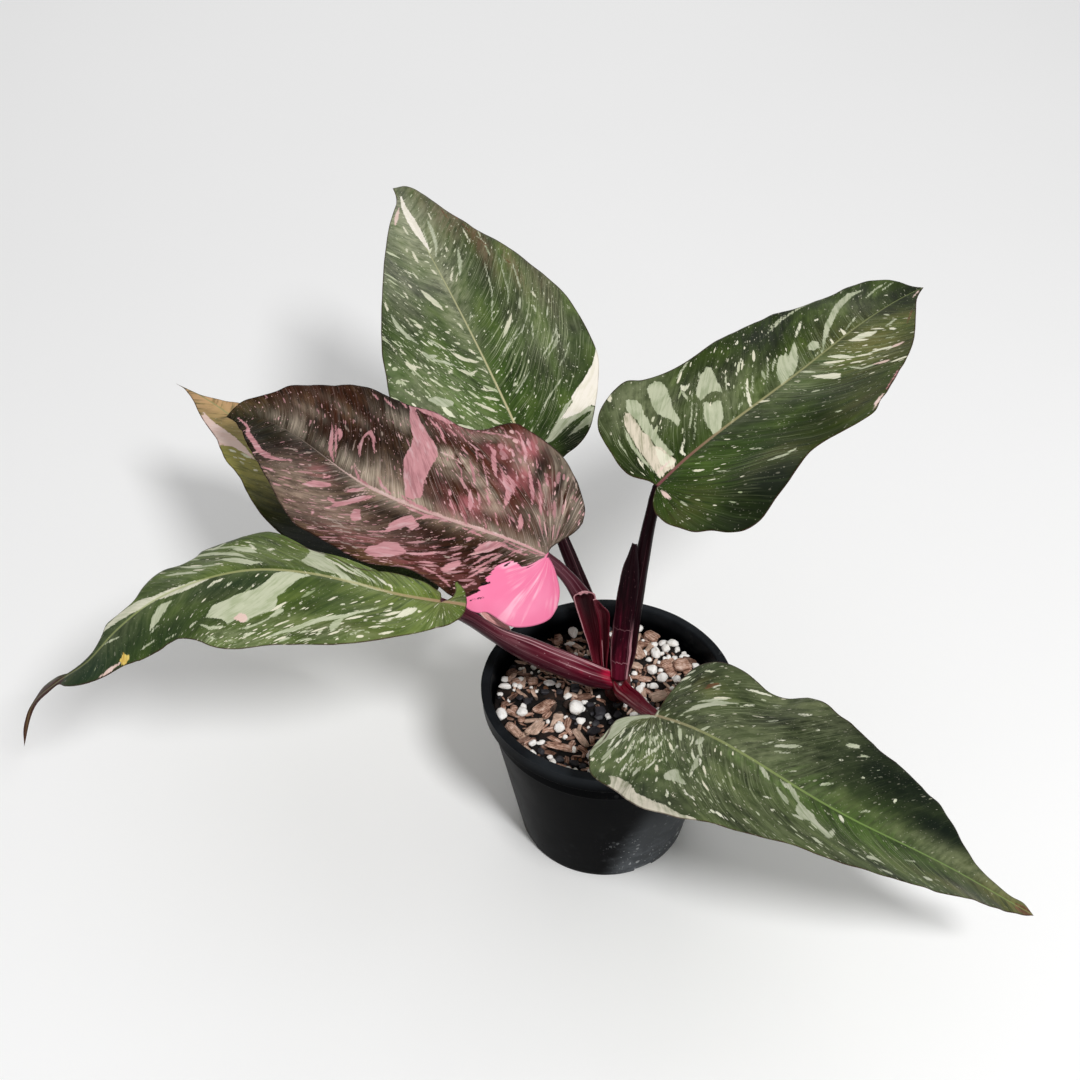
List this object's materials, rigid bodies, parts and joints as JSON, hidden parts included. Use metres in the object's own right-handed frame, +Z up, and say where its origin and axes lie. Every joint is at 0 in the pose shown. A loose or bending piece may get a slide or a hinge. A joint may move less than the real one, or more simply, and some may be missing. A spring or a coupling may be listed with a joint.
{
  "type": "potted philodendron",
  "caption": "Young pink-variegated philodendron with long heart-shaped leaves on dark red petioles, growing in a round tapered nursery pot; decorative house plant.",
  "frame": {"origin": "centre of the flat underside of the pot", "axes": "+Z up along the pot's axis; -Y towards the side the front leaf hangs over; +X towards the right-hand leaf"},
  "size_m": [0.3969, 0.3538, 0.2037],
  "materials": {
    "pot_plastic": "satin black moulded plastic with dust",
    "growing_mix": "loose bark, perlite and coir",
    "stem": "smooth, waxy",
    "petiole": "glossy, ridged, dark red",
    "sheath": "thin, papery, dark red",
    "leaf_green": "waxy, variegated with cream and pale green",
    "leaf_pink": "waxy, brown and pink variegation",
    "perlite": "matt white, porous",
    "bark": "matt, fibrous",
    "charcoal": "matt black"
  },
  "bodies": {
    "root": {"nursery_pot": "pot_plastic", "potting_mix": "growing_mix", "stem": "stem", "leaf_back": "leaf_green", "leaf_pink": "leaf_pink", "leaf_right": "leaf_green", "leaf_left": "leaf_green", "leaf_front": "leaf_green", "leaf_rear": "leaf_green", "petiole_right": "petiole", "petiole_left": "petiole", "petiole_pink": "petiole", "petiole_front": "petiole", "petiole_back": "petiole", "petiole_rear": "petiole", "sheath_right": "sheath", "sheath_centre": "sheath", "sheath_left": "sheath", "perlite_1": "perlite", "perlite_2": "perlite", "perlite_3": "perlite", "perlite_4": "perlite", "perlite_5": "perlite", "perlite_6": "perlite", "perlite_7": "perlite", "perlite_8": "perlite", "perlite_9": "perlite", "perlite_10": "perlite", "perlite_11": "perlite", "perlite_12": "perlite", "perlite_13": "perlite", "perlite_14": "perlite", "perlite_15": "perlite", "perlite_16": "perlite", "perlite_17": "perlite", "perlite_18": "perlite", "bark_1": "bark", "bark_2": "bark", "bark_3": "bark", "bark_4": "bark", "bark_5": "bark", "bark_6": "bark", "bark_7": "bark", "bark_8": "bark", "bark_9": "bark", "bark_10": "bark", "charcoal_1": "charcoal", "charcoal_2": "charcoal", "charcoal_3": "charcoal"}
  },
  "joints": []
}
